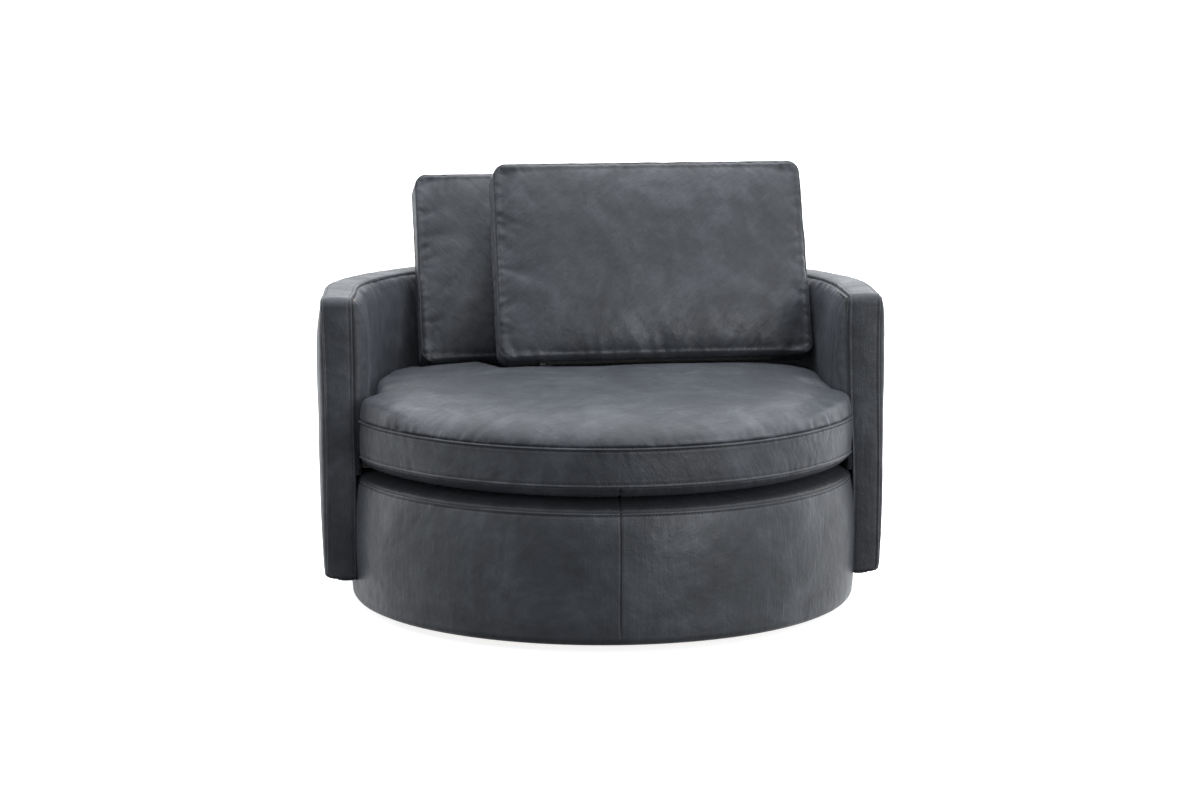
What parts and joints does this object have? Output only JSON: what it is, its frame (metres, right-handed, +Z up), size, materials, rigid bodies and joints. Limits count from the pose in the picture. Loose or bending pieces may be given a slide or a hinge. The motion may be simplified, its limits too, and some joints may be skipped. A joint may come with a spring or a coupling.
{
  "type": "swivel cuddle chair",
  "caption": "Round swivel cuddle chair in dark leather: drum base on a hidden turntable, wrap-around arms and back, round loose seat cushion and loose back cushions that lift off.",
  "frame": {"origin": "on the floor, on the swivel axis, at the underside of the middle glide", "axes": "+Z up, the front of the chair towards -Y, +X to the right as seen from the front"},
  "size_m": [1.1602, 1.1677, 0.8961],
  "materials": {
    "leather": "satin",
    "piping_leather": "satin",
    "plywood": "matte",
    "timber": "matte",
    "hardboard": "matte",
    "foam": "matte",
    "wadding": "matte",
    "fibre_filling": "matte",
    "deck_fabric": "matte",
    "black_cambric": "matte",
    "zinc_steel": "satin",
    "bearing_steel": "polished",
    "spring_steel": "satin",
    "cage_plastic": "matte",
    "glide_plastic": "matte",
    "zip_tape": "matte",
    "zip_metal": "satin"
  },
  "bodies": {
    "floor_base": {"floor_glides": "glide_plastic", "floor_disc": "plywood", "swivel_lower_plate": "zinc_steel", "lower_plate_screws": "zinc_steel", "pivot_bolt": "zinc_steel", "pivot_locknut": "zinc_steel"},
    "bearing_cage": {"ball_cage": "cage_plastic", "bearing_balls": "bearing_steel"},
    "chair": {"swivel_upper_plate": "zinc_steel", "upper_plate_screws": "zinc_steel", "pivot_bush": "cage_plastic", "base_board": "plywood", "skirt_ring": "plywood", "dust_cover": "black_cambric", "drum_posts": "timber", "deck_ring": "plywood", "seat_springs": "spring_steel", "spring_clips": "spring_steel", "deck_pad": "foam", "deck_cloth": "deck_fabric", "deck_border_left": "leather", "deck_border_right": "leather", "drum_board": "hardboard", "drum_foam": "foam", "drum_cover_left": "leather", "drum_cover_right": "leather", "shell_bottom_rail": "plywood", "shell_top_rail": "plywood", "shell_posts": "timber", "arm_front_posts": "timber", "joining_blocks": "timber", "joining_screws": "zinc_steel", "shell_outer_board": "hardboard", "shell_inner_board": "hardboard", "arm_facing_boards": "plywood", "shell_inner_foam": "foam", "shell_outer_wadding": "wadding", "shell_top_foam": "foam", "arm_front_foams": "foam", "shell_inner_cover": "leather", "shell_outer_cover_left": "leather", "shell_outer_cover_right": "leather", "shell_strip_left": "leather", "shell_strip_right": "leather", "shell_bottom_cloth": "black_cambric"},
    "seat_cushion": {"seat_core": "foam", "seat_top_panel": "leather", "seat_border": "leather", "seat_bottom_panel": "leather", "seat_welt": "piping_leather", "seat_zip": "zip_tape"},
    "back_cushion_right": {"back_cushion_cover_right": "leather", "back_cushion_filling_right": "fibre_filling", "back_cushion_zip_right": "zip_tape"},
    "back_cushion_left": {"back_cushion_cover_left": "leather", "back_cushion_filling_left": "fibre_filling", "back_cushion_zip_left": "zip_tape"},
    "seat_zip_pull": {"seat_zip_slider": "zip_metal"},
    "right_zip_pull": {"back_cushion_slider_right": "zip_metal"},
    "left_zip_pull": {"back_cushion_slider_left": "zip_metal"}
  },
  "joints": [
    {"name": "swivel", "type": "hinge", "parent": "floor_base", "child": "chair", "pos_m": [0, 0, 0.029], "axis": [0, 0, 1], "continuous": true},
    {"name": "cage_spin", "type": "hinge", "parent": "floor_base", "child": "bearing_cage", "pos_m": [0, 0, 0.029], "axis": [0, 0, 1], "continuous": true},
    {"name": "seat_lift", "type": "slide", "parent": "chair", "child": "seat_cushion", "axis": [0, 0, 1], "range_m": [0, 0.4]},
    {"name": "right_back_cushion_lift", "type": "slide", "parent": "seat_cushion", "child": "back_cushion_right", "axis": [-0.0328, 0.3404, 0.9397], "range_m": [0, 0.32]},
    {"name": "left_back_cushion_lift", "type": "slide", "parent": "seat_cushion", "child": "back_cushion_left", "axis": [-0.039, 0.4049, 0.9135], "range_m": [0, 0.32]},
    {"name": "seat_zip_run", "type": "hinge", "parent": "seat_cushion", "child": "seat_zip_pull", "pos_m": [0, 0.06, 0.362], "axis": [0, 0, -1], "range_deg": [0, 94]},
    {"name": "right_zip_run", "type": "slide", "parent": "back_cushion_right", "child": "right_zip_pull", "axis": [0.9954, 0.0958, 0], "range_m": [0, 0.474]},
    {"name": "left_zip_run", "type": "slide", "parent": "back_cushion_left", "child": "left_zip_pull", "axis": [0.9954, 0.0958, 0], "range_m": [0, 0.474]}
  ],
  "couplings": [
    {"joint": "cage_spin", "follows": "swivel", "ratio": 0.5}
  ]
}
